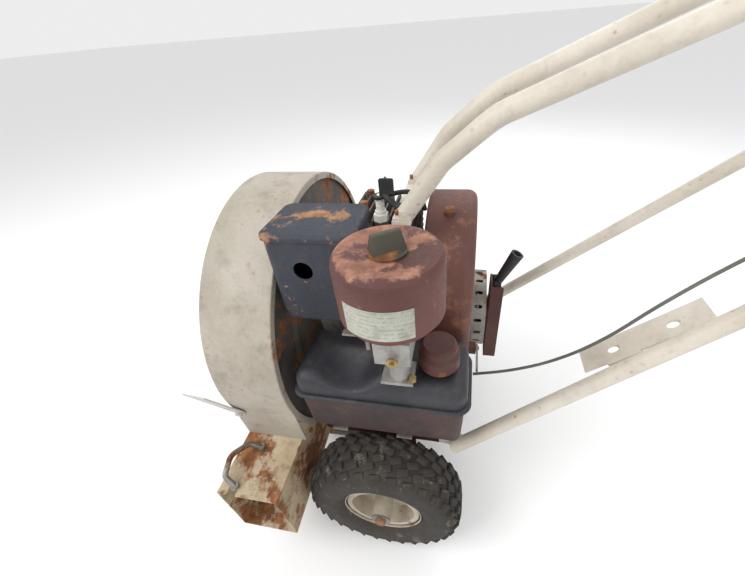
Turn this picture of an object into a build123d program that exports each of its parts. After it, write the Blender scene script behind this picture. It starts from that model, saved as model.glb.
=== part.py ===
from build123d import *
import os
from math import acos, atan2, cos, degrees, hypot, pi, radians, sin, tan

# Single stage snow thrower on two pneumatic wheels. A horizontal-shaft engine drives a paddle
# impeller directly, inside a round sheet-metal drum that turns by hand to aim its spout.
# Frame: millimetres, -Y forward (the open intake faces -Y), +X to the machine's left, +Z up.
# The origin is on the ground, on the centreline between the wheels.

os.makedirs("parts", exist_ok=True)

# ---- Driving dimensions ----
crank_x = -30.0         # crankshaft, impeller and drum axis, parallel to Y
crank_z = 382.0
shaft_r = 11.0
running = 0.06          # radial clearance of a shaft in its hole
touch = 0.3             # gap between soft or curved faces

drum_r = 245.0
drum_front = -248.0
drum_rear = -136.0
sheet = 2.5
rim_band = 11.0         # width of the rolled band round the drum's back
plate_y = -142.0        # rear face of the recessed back plate
collar_r = 62.0         # fixed collar that the drum turns on

spout_top = 242.0
spout_low = 108.0
spout_end = 310.0
spout_rear = -144.0     # the spout stays ahead of the tyre
neck_x = 203.0

impeller_r = 231.0

base_half = 158.0       # half the width of the sheet-metal engine base
base_low = 215.0
base_top = 300.0
base_front = -122.0
base_rear = 122.0

axle_y = 5.0
axle_r = 9.5
tyre_r = 137.7
axle_z = tyre_r
tyre_in = 179.0         # inner and outer faces of the left tyre
tyre_out = 267.0
rim_r = 69.0

tube_r = 12.7           # one-inch handle tube
tube_wall = 1.6
brace_r = 11.2          # thinner lower tubes

can_x = 207.0
can_y = 47.0
can_r = 59.0
can_low = 562.0
can_top = 649.0

tank_in = 108.0
tank_out = 219.0
tank_front = -112.0
tank_rear = 139.0
tank_low = 312.0
tank_top = 445.0
cap_x = 170.0
cap_y = 96.0

crank_at = (crank_x, crank_z)
crank_line = Axis((crank_x, 0, crank_z), (0, 1, 0))
crank_section = Plane(origin=(crank_x, 0, crank_z), x_dir=(0, 1, 0), z_dir=(1, 0, 0))


# ---- Helpers, used inside a BuildPart block ----
def across(y):
    """Sketch plane facing forward at depth y: its X is +X, its Y is +Z."""
    return Plane.XZ.offset(-y)


def beside(x):
    """Sketch plane facing the machine's left at x: its X is +Y, its Y is +Z."""
    return Plane.YZ.offset(x)


def above(z):
    """Level sketch plane at height z."""
    return Plane.XY.offset(z)


def block(x, y, z, mode=Mode.ADD):
    """A box from three (low, high) pairs."""
    middle = ((x[0] + x[1]) / 2, (y[0] + y[1]) / 2, (z[0] + z[1]) / 2)
    with Locations(middle):
        Box(x[1] - x[0], y[1] - y[0], z[1] - z[0], mode=mode)


def rod_x(x, at, radius, mode=Mode.ADD):
    """A cylinder along X between two x values, at (y, z)."""
    with BuildSketch(beside(x[0])) as face:
        with Locations(at):
            Circle(radius)
    extrude(face.sketch, amount=x[1] - x[0], mode=mode)


def rod_y(y, at, radius, mode=Mode.ADD):
    """A cylinder along Y between two y values, at (x, z)."""
    with BuildSketch(across(y[1])) as face:
        with Locations(at):
            Circle(radius)
    extrude(face.sketch, amount=y[1] - y[0], mode=mode)


def rod_z(z, at, radius, mode=Mode.ADD):
    """A cylinder along Z between two z values, at (x, y)."""
    with BuildSketch(above(z[0])) as face:
        with Locations(at):
            Circle(radius)
    extrude(face.sketch, amount=z[1] - z[0], mode=mode)


def outline_y(points, y, mode=Mode.ADD):
    """An (x, z) outline carried between two y values."""
    with BuildSketch(across(y[1])) as face:
        with BuildLine():
            Polyline(points, close=True)
        make_face()
    extrude(face.sketch, amount=y[1] - y[0], mode=mode)


def outline_x(points, x, mode=Mode.ADD):
    """A (y, z) outline carried between two x values."""
    with BuildSketch(beside(x[0])) as face:
        with BuildLine():
            Polyline(points, close=True)
        make_face()
    extrude(face.sketch, amount=x[1] - x[0], mode=mode)


def turned(section, axis, points, mode=Mode.ADD):
    """A profile turned through a full circle."""
    with BuildSketch(section) as profile:
        with BuildLine():
            Polyline(points, close=True)
        make_face()
    revolve(profile.sketch, axis=axis, mode=mode)


def bend_radii(points):
    """The largest even bend for each corner of a route: 0.45 of its shorter run."""
    radii = []
    for before, corner, after in zip(points, points[1:], points[2:]):
        into = Vector(corner) - Vector(before)
        out = Vector(after) - Vector(corner)
        half_turn = radians(into.get_angle(out)) / 2
        radii.append(0.45 * min(into.length, out.length) / tan(half_turn))
    return radii


def tube(points, radius, hole=0.0, bends=None):
    """A round tube or rod along a bent route."""
    with BuildLine() as route:
        FilletPolyline(points, radius=bends or bend_radii(points))
    with BuildSketch(Plane(origin=route.line @ 0, z_dir=route.line % 0)) as section:
        Circle(radius)
        if hole:
            Circle(hole, mode=Mode.SUBTRACT)
    sweep(section.sketch, path=route.line)


def hexagon_y(y, at, across_flats, mode=Mode.ADD):
    """A hexagon head along Y."""
    with BuildSketch(across(y[1])) as face:
        with Locations(at):
            RegularPolygon(across_flats / 2, 6, major_radius=False)
    extrude(face.sketch, amount=y[1] - y[0], mode=mode)


def hexagon_x(x, at, across_flats):
    """A hexagon head along X."""
    with BuildSketch(beside(x[0])) as face:
        with Locations(at):
            RegularPolygon(across_flats / 2, 6, major_radius=False)
    extrude(face.sketch, amount=x[1] - x[0])


def hexagon_z(z, at, across_flats):
    """A hexagon head along Z."""
    with BuildSketch(above(z[0])) as face:
        with Locations(at):
            RegularPolygon(across_flats / 2, 6, major_radius=False)
    extrude(face.sketch, amount=z[1] - z[0])


def on_crank(radius, angle):
    """(x, z) at a radius and an angle about the crankshaft; 0 is to the left, 90 is up."""
    turn = radians(angle)
    return (crank_x + radius * cos(turn), crank_z + radius * sin(turn))


# ---- Drum: rolled shell, back plate, bearing ring ----
# The spout's floor is tangent to the drum's underside, so the outlet is the arc between them.
reach = hypot(spout_end - 4 - crank_x, spout_low - crank_z)
mouth_angle = degrees(atan2(spout_low - crank_z, spout_end - 4 - crank_x))
tangent_angle = mouth_angle - degrees(acos(drum_r / reach))
floor_start = on_crank(drum_r, tangent_angle)
neck_angle = -14.0
neck_start = on_crank(drum_r, neck_angle)
neck_end = (neck_x, spout_top)
outlet = [crank_at, on_crank(1.2 * drum_r, neck_angle), (neck_x + 60, spout_top - 40),
          (neck_x + 60, spout_low - 60), on_crank(1.2 * drum_r, tangent_angle)]

with BuildPart() as drum_shell:
    turned(crank_section, crank_line, [
        (drum_front, drum_r - sheet), (drum_front, drum_r), (drum_rear, drum_r),
        (drum_rear, drum_r - rim_band), (drum_rear - sheet, drum_r - rim_band),
        (drum_rear - sheet, drum_r - sheet)])
    # Rolled bead round the intake.
    turned(crank_section, crank_line, [
        (drum_front, drum_r - 6), (drum_front, drum_r), (drum_front + 4, drum_r),
        (drum_front + 4, drum_r - 6)])
    outline_y(outlet, (drum_front - 1, drum_rear - sheet), mode=Mode.SUBTRACT)
    outer_edges = drum_shell.edges().filter_by(GeomType.CIRCLE).group_by(Axis.Y)[-1]
    fillet(outer_edges.group_by(SortBy.RADIUS)[-1], radius=2)
    # The neck carries the shell's side straight down to the spout.
    outline_y([neck_start, neck_end, (neck_end[0] - sheet, neck_end[1]),
               on_crank(drum_r - sheet, neck_angle)], (drum_front, drum_rear))
drum_shell.part.label = "drum_shell"
export_step(drum_shell.part, "parts/drum_shell.step")

with BuildPart() as drum_back_plate:
    turned(crank_section, crank_line, [
        (plate_y - sheet, collar_r + 8), (plate_y - sheet, drum_r - sheet - 0.1),
        (plate_y, drum_r - sheet - 0.1), (plate_y, 170), (plate_y + 4, 160),
        (plate_y + 4, collar_r + 8)])
    for angle in (30, 90, 150, 210, 270, 330):
        rod_y((plate_y - 10, plate_y + 10), on_crank(80, angle), 3.2, mode=Mode.SUBTRACT)
drum_back_plate.part.label = "drum_back_plate"
export_step(drum_back_plate.part, "parts/drum_back_plate.step")

ring_front = plate_y - sheet - 7.5
with BuildPart() as drum_bearing_ring:
    turned(crank_section, crank_line, [
        (ring_front, collar_r + running), (ring_front, 92), (plate_y - sheet, 92),
        (plate_y - sheet, collar_r + 7.9), (plate_y + 4, collar_r + 7.9),
        (plate_y + 4, collar_r + running)])
    for angle in (30, 90, 150, 210, 270, 330):
        rod_y((ring_front - 1, plate_y + 10), on_crank(80, angle), 3.2, mode=Mode.SUBTRACT)
drum_bearing_ring.part.label = "drum_bearing_ring"
export_step(drum_bearing_ring.part, "parts/drum_bearing_ring.step")

# ---- Spout: floor, roof and two cheeks, its own pressing with a hand hoop ----
mouth_low = (spout_end - 4, spout_low)
with BuildPart() as spout:
    outline_y([neck_end, (spout_end, spout_top), mouth_low, floor_start, crank_at],
              (drum_front, spout_rear))
    # The duct runs right through, from inside the drum to the mouth.
    floor_slope = (mouth_low[1] - floor_start[1]) / (mouth_low[0] - floor_start[0])
    outline_y([(-60, spout_top - sheet), (spout_end + 20, spout_top - sheet),
               (spout_end + 20, mouth_low[1] + floor_slope * 24 + sheet),
               (floor_start[0] - 40, floor_start[1] - floor_slope * 40 + sheet)],
              (drum_front + sheet, spout_rear - sheet), mode=Mode.SUBTRACT)
    rod_y((drum_front - 1, spout_rear + 1), crank_at, drum_r + 0.05, mode=Mode.SUBTRACT)
    block((0, spout_end + 20), (drum_front - 1, spout_rear + 1), (spout_top, crank_z),
          mode=Mode.SUBTRACT)
    # A corner torn out of the roof's lip.
    block((spout_end - 14, spout_end + 1), (-232, -216), (spout_top - 5, spout_top + 1),
          mode=Mode.SUBTRACT)
spout.part.label = "spout"
export_step(spout.part, "parts/spout.step")

hoop = [(229, -210, 246), (233, -226, 260), (262, -241, 270), (291, -238, 260), (297, -222, 246)]
with BuildPart() as spout_handle:
    tube(hoop, 4.5, bends=[9, 20, 9])
    for foot in (hoop[0], hoop[-1]):
        rod_z((spout_top, 249), (foot[0], foot[1]), 6.5)
spout_handle.part.label = "spout_handle"
export_step(spout_handle.part, "parts/spout_handle.step")

with BuildPart() as drum_bolts:
    for angle in (30, 90, 150, 210, 270, 330):
        rod_y((ring_front - 2, plate_y + 4), on_crank(80, angle), 3.1)
        hexagon_y((plate_y + 4, plate_y + 8), on_crank(80, angle), 10)
        hexagon_y((ring_front - 4, ring_front), on_crank(80, angle), 10)
    for x in (175, 230):
        hexagon_y((spout_rear, spout_rear + 4), (x, 226 - 0.3 * (x - 175)), 9)
drum_bolts.part.label = "drum_bolts"
export_step(drum_bolts.part, "parts/drum_bolts.step")

# A flat pointed cutter bolted on the intake's rim, reaching forward and up.
cutter_angle = -15.0
cutter_seat = drum_r + 4.0
cutter_turn = radians(cutter_angle)
cutter_root = on_crank(cutter_seat, cutter_angle)
cutter_plane = Plane(origin=(cutter_root[0], -236, cutter_root[1]),
                     x_dir=(-sin(cutter_turn) * 0.7071, -0.7071, cos(cutter_turn) * 0.7071),
                     z_dir=(cos(cutter_turn), 0, sin(cutter_turn)))
with BuildPart() as drift_cutter:
    with BuildSketch(cutter_plane):
        with BuildLine():
            Polyline((-9, -5), (-4, -9), (62, -9), (93, 9), (-4, 9), (-9, 5), close=True)
        make_face()
    extrude(amount=1.25, both=True)
    with BuildSketch(cutter_plane):
        RegularPolygon(6, 6)
    extrude(amount=6)
drift_cutter.part.label = "drift_cutter"
export_step(drift_cutter.part, "parts/drift_cutter.step")

# ---- Rotor: crankshaft, impeller, flywheel, starter cup ----
throw = 24.0
web_front = -22.0
web_rear = 10.0
shaft_nose = -246.0
shaft_tail = 128.0
with BuildPart() as crankshaft:
    rod_y((shaft_nose, web_front), crank_at, shaft_r)
    rod_y((shaft_nose - 12, shaft_nose), crank_at, 8)
    for y in (web_front, web_rear):
        rod_y((y - 6, y + 6), crank_at, 42)
    rod_y((web_front, web_rear), on_crank(throw, 90), 10)
    rod_y((web_rear, shaft_tail), crank_at, shaft_r)
    rod_y((shaft_tail, shaft_tail + 20), crank_at, 8)
crankshaft.part.label = "crankshaft"
export_step(crankshaft.part, "parts/crankshaft.step")


def radial_bar(angle, inner, outer, half):
    """Corners of a straight bar that points away from the crankshaft."""
    turn = radians(angle)
    side = (-half * sin(turn), half * cos(turn))
    near = on_crank(inner, angle)
    far = on_crank(outer, angle)
    return [(near[0] + side[0], near[1] + side[1]), (far[0] + side[0], far[1] + side[1]),
            (far[0] - side[0], far[1] - side[1]), (near[0] - side[0], near[1] - side[1])]


press = 0.02            # hub bores on the shaft, within one body
impeller_back = -160.0
impeller_front = -240.0
with BuildPart() as impeller:
    turned(crank_section, crank_line, [
        (impeller_front, shaft_r + press), (impeller_front, 24), (impeller_back - 4, 24),
        (impeller_back - 4, 120), (impeller_back, 120), (impeller_back, shaft_r + press)])
    for angle in (45, 135, 225, 315):
        outline_y(radial_bar(angle, 22, impeller_r, 2), (impeller_front, impeller_back - 2))
        outline_y(radial_bar(angle, impeller_r - 5, impeller_r - 1, 9),
                  (impeller_front, impeller_back - 2))
impeller.part.label = "impeller"
export_step(impeller.part, "parts/impeller.step")

with BuildPart() as impeller_nut:
    hexagon_y((shaft_nose - 10, shaft_nose), crank_at, 28)
    rod_y((shaft_nose - 11, shaft_nose + 1), crank_at, 8 + press, mode=Mode.SUBTRACT)
impeller_nut.part.label = "impeller_nut"
export_step(impeller_nut.part, "parts/impeller_nut.step")

fly_front = 76.0
fly_rear = 98.0
with BuildPart() as flywheel:
    turned(crank_section, crank_line, [
        (fly_front, shaft_r + press), (fly_front, 104), (fly_rear, 104), (fly_rear, 84),
        (fly_front + 9, 78), (fly_front + 9, 34), (fly_rear + 12, 30),
        (fly_rear + 12, shaft_r + press)])
    for blade in range(12):
        outline_y(radial_bar(blade * 30, 70, 102, 1.5), (fly_rear - 10, fly_rear + 22))
flywheel.part.label = "flywheel"
export_step(flywheel.part, "parts/flywheel.step")

with BuildPart() as starter_cup:
    turned(crank_section, crank_line, [
        (shaft_tail, 8 + press), (shaft_tail, 50), (150, 50), (150, 47),
        (shaft_tail + 3, 47), (shaft_tail + 3, 16), (146, 16), (146, 8 + press)])
    for tooth in range(8):
        outline_y(radial_bar(tooth * 45, 40, 47.5, 2), (shaft_tail + 2, 147))
    for slot in range(16):
        rod_y((shaft_tail - 1, shaft_tail + 4), on_crank(32, slot * 22.5), 3.5,
              mode=Mode.SUBTRACT)
starter_cup.part.label = "starter_cup"
export_step(starter_cup.part, "parts/starter_cup.step")

# ---- Engine block ----
case_x = (-98, 38)
case_y = (-66, 60)
case_top = 452.0
foot_x = (-104, 44)
foot_y = (-48, 42)
cylinder_top = 560.0
head_top = 586.0
bore_at = (crank_x, -6)
bore_r = 32.0
bearing_r = 23.0
with BuildPart() as crankcase:
    block(case_x, case_y, (base_top, case_top))
    fillet(crankcase.edges().filter_by(Axis.Z), radius=10)
    fillet(crankcase.faces().sort_by(Axis.Z)[-1].edges(), radius=4)
    for x in (foot_x[0], foot_x[1]):
        for y in foot_y:
            block((x - 12, x + 12), (y - 9, y + 9), (base_top, base_top + 10))
    rod_y((case_y[0] - 6, case_y[0]), crank_at, 60)
    rod_y((case_y[0] + 14, case_y[1] - 14), crank_at, 55, mode=Mode.SUBTRACT)
    rod_y((case_y[0] - 7, case_y[1] + 1), crank_at, bearing_r, mode=Mode.SUBTRACT)
    rod_z((crank_z + 20, case_top + 1), bore_at, bore_r, mode=Mode.SUBTRACT)
crankcase.part.label = "crankcase"
export_step(crankcase.part, "parts/crankcase.step")

with BuildPart() as main_bearings:
    for y in (case_y[0] - 2, case_y[1] - 14):
        turned(crank_section, crank_line, [
            (y, shaft_r + running), (y, bearing_r), (y + 13, bearing_r),
            (y + 13, shaft_r + running)])
main_bearings.part.label = "main_bearings"
export_step(main_bearings.part, "parts/main_bearings.step")

fin_x = (-86, 26)
fin_y = (-60, 46)
with BuildPart() as cylinder:
    rod_z((case_top, cylinder_top), bore_at, 41)
    for fin in range(9):
        z = case_top + 8 + fin * 11
        block(fin_x, fin_y, (z, z + 3))
    block(fin_x, fin_y, (cylinder_top - 7, cylinder_top))
    fillet(cylinder.edges().filter_by(Axis.Z), radius=8)
    # Exhaust and intake ports on the machine's left.
    block((0, 34), (-60, -34), (514, 544))
    block((0, 34), (24, 48), (500, 530))
    rod_z((case_top - 1, cylinder_top + 1), bore_at, bore_r, mode=Mode.SUBTRACT)
    rod_x((20, 35), (-47, 529), 9, mode=Mode.SUBTRACT)
    rod_x((20, 35), (36, 515), 9, mode=Mode.SUBTRACT)
cylinder.part.label = "cylinder"
export_step(cylinder.part, "parts/cylinder.step")

plug_at = (18, -6)
head_bolt_spots = [(x, y) for x in (-78, -30, 12) for y in (-46, 32)]
with BuildPart() as cylinder_head:
    block(fin_x, fin_y, (cylinder_top, cylinder_top + 9))
    for fin in range(9):
        y = fin_y[0] + 2 + fin * 12.4
        block(fin_x, (y, y + 3), (cylinder_top + 8, head_top))
    rod_z((cylinder_top + 8, head_top - 2), plug_at, 12.5)
    rod_z((head_top - 2, head_top + 1), plug_at, 13.5, mode=Mode.SUBTRACT)
    rod_z((cylinder_top + 4, head_top), plug_at, 7, mode=Mode.SUBTRACT)
    for spot in head_bolt_spots:
        rod_z((cylinder_top + 8, head_top), spot, 7)
        rod_z((cylinder_top + 8.5, head_top + 1), spot, 3.6, mode=Mode.SUBTRACT)
cylinder_head.part.label = "cylinder_head"
export_step(cylinder_head.part, "parts/cylinder_head.step")

with BuildPart() as head_bolts:
    for spot in head_bolt_spots:
        rod_z((cylinder_top + 9, head_top + 1), spot, 3.5)
        hexagon_z((head_top, head_top + 6), spot, 12)
head_bolts.part.label = "head_bolts"
export_step(head_bolts.part, "parts/head_bolts.step")

with BuildPart() as spark_plug:
    rod_z((cylinder_top + 6, head_top - 2), plug_at, 6.9)
    hexagon_z((head_top - 2, head_top + 9), plug_at, 20.6)
    rod_z((head_top + 9, head_top + 14), plug_at, 8.5)
    for rib in range(3):
        rod_z((head_top + 14 + rib * 6, head_top + 18 + rib * 6), plug_at, 6.6)
        rod_z((head_top + 18 + rib * 6, head_top + 20 + rib * 6), plug_at, 5.8)
    rod_z((head_top + 32, head_top + 39), plug_at, 3.6)
spark_plug.part.label = "spark_plug"
export_step(spark_plug.part, "parts/spark_plug.step")

# High-tension lead: an eyelet on the plug's terminal and a cable back into the cooling shroud.
lead_z = head_top + 36
lead_route = [(plug_at[0], 3, lead_z), (17, 19, lead_z + 5), (14, 34, lead_z + 6),
              (10, 47, lead_z + 2), (5, 55.8, lead_z - 10), (1, 59.2, lead_z - 28)]
with BuildPart() as ignition_lead:
    tube(lead_route, 3.5)
    rod_z((lead_z - 2, lead_z + 2), plug_at, 10)
    rod_z((lead_z - 3, lead_z + 3), plug_at, 3.6 + press, mode=Mode.SUBTRACT)
ignition_lead.part.label = "ignition_lead"
export_step(ignition_lead.part, "parts/ignition_lead.step")

# ---- Cooling shroud and wind-up starter ----
shroud_front = 66.0
shroud_rear = 138.0
shroud_wall = 2.0
boss_at = (16, 97)
boss_top = 599.0
lever_x = 68.0          # governor lever pivot
lever_z = 372.0
lever_y = 150.0
with BuildPart() as blower_housing:
    with BuildSketch(across(shroud_rear)):
        with Locations((crank_x, 468)):
            Circle(135)
        with Locations(crank_at):
            Circle(121)
        make_hull()
    extrude(amount=shroud_rear - shroud_front)
    fillet(blower_housing.faces().sort_by(Axis.Y)[-1].edges(), radius=16)
    offset(amount=-shroud_wall, openings=blower_housing.faces().sort_by(Axis.Y)[0])
    rod_y((shroud_rear - 4, shroud_rear + 1), crank_at, 58, mode=Mode.SUBTRACT)
    # Bolt boss on the top, and the stand of the governor lever low on the left.
    rod_z((586, boss_top), boss_at, 8)
    block((61, 75), (shroud_rear - 1, lever_y - 0.5), (lever_z - 8, lever_z + 8))
    rod_y((shroud_rear - 0.5, lever_y + 1), (lever_x, lever_z), 3.2, mode=Mode.SUBTRACT)
blower_housing.part.label = "blower_housing"
export_step(blower_housing.part, "parts/blower_housing.step")

with BuildPart() as shroud_backplate:
    with BuildSketch(across(shroud_front)):
        with Locations((crank_x, 468)):
            Circle(133)
        with Locations(crank_at):
            Circle(119)
        make_hull()
    extrude(amount=3)
    rod_y((shroud_front - 4, shroud_front + 1), crank_at, 40, mode=Mode.SUBTRACT)
    block((-88, 28), (shroud_front - 4, shroud_front + 1), (476, 572), mode=Mode.SUBTRACT)
shroud_backplate.part.label = "shroud_backplate"
export_step(shroud_backplate.part, "parts/shroud_backplate.step")

post_r = 8.0
with BuildPart() as starter_housing:
    turned(crank_section, crank_line, [
        (shroud_rear, 60), (shroud_rear, 82), (shroud_rear + 3, 82), (shroud_rear + 3, 70),
        (163, 70), (163, post_r), (180, post_r), (180, 0), (160, 0), (160, 67.5),
        (shroud_rear + 3, 67.5), (shroud_rear + 3, 60)])
    for slot in range(18):
        turn = radians(slot * 20)
        wall = Plane(origin=(crank_x, 150, crank_z), z_dir=(cos(turn), 0, sin(turn)),
                     x_dir=(0, 1, 0))
        with BuildSketch(wall):
            SlotOverall(13, 6)
        extrude(amount=75, mode=Mode.SUBTRACT)
starter_housing.part.label = "starter_housing"
export_step(starter_housing.part, "parts/starter_housing.step")

# Fold-out winding handle: a channel on the starter's post with a grip on a cross pin.
arm_low = 262.0
arm_high = 452.0
grip_pivot = (181, 440)         # (y, z)
with BuildPart() as starter_arm:
    block((crank_x - 22, crank_x + 22), (170, 192), (arm_low, arm_high))
    fillet(starter_arm.edges().filter_by(Axis.Y), radius=16)
    block((crank_x - 19.5, crank_x + 19.5), (172.5, 193), (arm_low + 2.5, arm_high + 5),
          mode=Mode.SUBTRACT)
    rod_y((163.5, 172.5), crank_at, 20)
    rod_y((163, 193), crank_at, post_r + running, mode=Mode.SUBTRACT)
    rod_x((crank_x - 21, crank_x + 21), grip_pivot, 4)
starter_arm.part.label = "starter_arm"
export_step(starter_arm.part, "parts/starter_arm.step")

grip_lean = 24.0
grip_axis = (0, sin(radians(grip_lean)), cos(radians(grip_lean)))
grip_plane = Plane(origin=(crank_x, grip_pivot[0], grip_pivot[1]), x_dir=(1, 0, 0), z_dir=grip_axis)
with BuildPart() as starter_grip:
    rod_x((crank_x - 15, crank_x + 15), grip_pivot, 7.5)
    with BuildSketch(grip_plane) as grip_low:
        Circle(7)
    with BuildSketch(grip_plane.offset(68)) as grip_high:
        Circle(11)
    loft([grip_low.sketch, grip_high.sketch])
    rod_x((crank_x - 16, crank_x + 16), grip_pivot, 4 + running, mode=Mode.SUBTRACT)
    with BuildSketch(grip_plane.offset(61)) as grip_recess:
        Circle(7)
    extrude(grip_recess.sketch, amount=8, mode=Mode.SUBTRACT)
starter_grip.part.label = "starter_grip"
export_step(starter_grip.part, "parts/starter_grip.step")

with BuildPart() as governor_lever:
    block((lever_x - 7, 118), (lever_y, lever_y + 3), (lever_z - 5, lever_z + 5))
    fillet(governor_lever.edges().filter_by(Axis.Y), radius=4)
    rod_y((shroud_rear + 1, lever_y + 5), (lever_x, lever_z), 3.2 - running)
governor_lever.part.label = "governor_lever"
export_step(governor_lever.part, "parts/governor_lever.step")

# ---- Engine base, skids, axle ----
base_wall = 3.0
notch_x = 108.0         # the base is cut away behind the engine for the blower housing
with BuildPart() as engine_base:
    block((-base_half, base_half), (base_front, base_rear), (base_low, base_top))
    fillet(engine_base.edges().filter_by(Axis.Z), radius=10)
    fillet(engine_base.faces().sort_by(Axis.Z)[-1].edges(), radius=5)
    block((-base_half + base_wall, base_half - base_wall),
          (base_front + base_wall, base_rear - base_wall), (base_low - 1, base_top - base_wall),
          mode=Mode.SUBTRACT)
    block((-base_half + base_wall, notch_x), (shroud_front - 5, base_rear + 1),
          (base_low - 1, base_top + 1), mode=Mode.SUBTRACT)
    # Hanger plates for the axle.
    for x in (-140, 140):
        block((x - 2.5, x + 2.5), (axle_y - 45, axle_y + 45), (axle_z - 24, base_top - 2))
        rod_x((x - 4, x + 4), (axle_y, axle_z), axle_r + 0.05, mode=Mode.SUBTRACT)
engine_base.part.label = "engine_base"
export_step(engine_base.part, "parts/engine_base.step")

# One long centre shoe, turned up at the front, hung from the base on two straps.
skid_front = -300.0
skid_x = (-75, 55)
with BuildPart() as skid_frame:
    outline_x([(12, 0), (skid_front, 0), (skid_front - 18, 16), (skid_front - 14, 19),
               (skid_front + 2, 5), (12, 5)], skid_x)
    block((-60, 40), (base_front - 5, base_front), (4, base_top - 12))
    block((-60, 40), (-40, -35), (4, base_top - base_wall))
    for x in (-60, 36):
        outline_x([(base_front - 5, 4), (base_front - 70, 4), (base_front - 5, 64)],
                  (x, x + 4))
skid_frame.part.label = "skid_frame"
export_step(skid_frame.part, "parts/skid_frame.step")

axle_half = 278.0
pin_x = 274.5
with BuildPart() as axle:
    rod_x((-axle_half, axle_half), (axle_y, axle_z), axle_r)
    chamfer(axle.edges().filter_by(GeomType.CIRCLE), length=1.5)
    for x in (-pin_x, pin_x):
        rod_z((axle_z - 12, axle_z + 12), (x, axle_y), 1.8, mode=Mode.SUBTRACT)
axle.part.label = "axle"
export_step(axle.part, "parts/axle.step")

hub_half = 46.5
with BuildPart() as axle_pins:
    for side in (-1, 1):
        rod_z((axle_z - 15, axle_z + 13), (side * pin_x, axle_y), 1.7)
        low = sorted((side * (223 + hub_half + 0.3), side * (223 + hub_half + 2.3)))
        rod_x(low, (axle_y, axle_z), 17)
        rod_x((low[0] - 1, low[1] + 1), (axle_y, axle_z), axle_r + 0.05, mode=Mode.SUBTRACT)
axle_pins.part.label = "axle_pins"
export_step(axle_pins.part, "parts/axle_pins.step")

# ---- Pneumatic wheels: profiles are (distance out from the wheel's middle, radius) ----
wheel_x = (tyre_in + tyre_out) / 2
tyre_profile = [(-30.7, 61.2), (-30.7, 70), (-42, 82), (-44, 104), (-39, 124), (-27, 134),
                (-9, 137.2), (-9, 131), (-5, 131), (-5, tyre_r), (5, tyre_r), (5, 131), (9, 131),
                (9, 137.2), (27, 134), (39, 124), (44, 104), (42, 82), (30.7, 70), (30.7, 61.2),
                (22, 61.2), (24, 72), (34, 84), (36, 104), (31, 118), (19, 125), (0, 126),
                (-19, 125), (-31, 118), (-36, 104), (-34, 84), (-24, 72), (-22, 61.2)]
rim_profile = [(-hub_half, axle_r + running), (-hub_half, 17), (-2, 17), (-2, 56), (-31, 56),
               (-31, 67.5), (-34, 67.5), (-34, rim_r), (-30.9, rim_r), (-30.9, 61), (30.9, 61),
               (30.9, rim_r), (34, rim_r), (34, 67.5), (31, 67.5), (31, 56), (2, 56), (2, 17),
               (hub_half, 17), (hub_half, axle_r + running)]
axle_line = Axis((0, axle_y, axle_z), (1, 0, 0))


def wheel_section(side):
    """Plane whose X runs along the axle from one wheel's middle and whose Y is the radius."""
    return Plane(origin=(side * wheel_x, axle_y, axle_z), x_dir=(1, 0, 0), z_dir=(0, -1, 0))


with BuildPart() as tyre_left:
    turned(wheel_section(1), axle_line, tyre_profile)
tyre_left.part.label = "tyre_left"
export_step(tyre_left.part, "parts/tyre_left.step")

with BuildPart() as tyre_right:
    turned(wheel_section(-1), axle_line, tyre_profile)
tyre_right.part.label = "tyre_right"
export_step(tyre_right.part, "parts/tyre_right.step")

with BuildPart() as rim_left:
    turned(wheel_section(1), axle_line, rim_profile)
rim_left.part.label = "rim_left"
export_step(rim_left.part, "parts/rim_left.step")

with BuildPart() as rim_right:
    turned(wheel_section(-1), axle_line, rim_profile)
rim_right.part.label = "rim_right"
export_step(rim_right.part, "parts/rim_right.step")

# ---- Drum mount ----
neck_front = ring_front - 0.5
with BuildPart() as drum_collar:
    turned(crank_section, crank_line, [
        (neck_front, 40), (neck_front, collar_r), (plate_y + 4.5, collar_r),
        (plate_y + 4.5, 73), (case_y[0] - 6, 73), (case_y[0] - 6, 40)])
drum_collar.part.label = "drum_collar"
export_step(drum_collar.part, "parts/drum_collar.step")

with BuildPart() as collar_retainer:
    turned(crank_section, crank_line, [
        (neck_front - 3.5, 40), (neck_front - 3.5, 68), (neck_front, 68), (neck_front, 40)])
    for angle in (0, 90, 180, 270):
        rod_y((neck_front - 5.5, neck_front - 3.5), on_crank(51, angle), 5)
collar_retainer.part.label = "collar_retainer"
export_step(collar_retainer.part, "parts/collar_retainer.step")

# ---- Muffler ----
muffler_x = (68, 160)
muffler_y = (-126, -8)
muffler_z = (495, 625)
with BuildPart() as muffler_body:
    block(muffler_x, muffler_y, muffler_z)
    fillet(muffler_body.edges().filter_by(Axis.Z), radius=14)
    fillet(muffler_body.faces().sort_by(Axis.Z)[0].edges(), radius=8)
    offset(amount=-1.5, openings=muffler_body.faces().sort_by(Axis.Z)[-1])
    rod_x((muffler_x[1] - 4, muffler_x[1] + 1), (-77.5, 582), 13, mode=Mode.SUBTRACT)
    rod_x((muffler_x[0] - 1, muffler_x[0] + 4), (-67, 529), 9.1, mode=Mode.SUBTRACT)
muffler_body.part.label = "muffler_body"
export_step(muffler_body.part, "parts/muffler_body.step")

with BuildPart() as muffler_lid:
    block((muffler_x[0] - 3, muffler_x[1] + 3), (muffler_y[0] - 3, muffler_y[1] + 3), (625, 633))
    fillet(muffler_lid.edges().filter_by(Axis.Z), radius=16)
    fillet(muffler_lid.faces().sort_by(Axis.Z)[-1].edges(), radius=5)
muffler_lid.part.label = "muffler_lid"
export_step(muffler_lid.part, "parts/muffler_lid.step")

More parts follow.
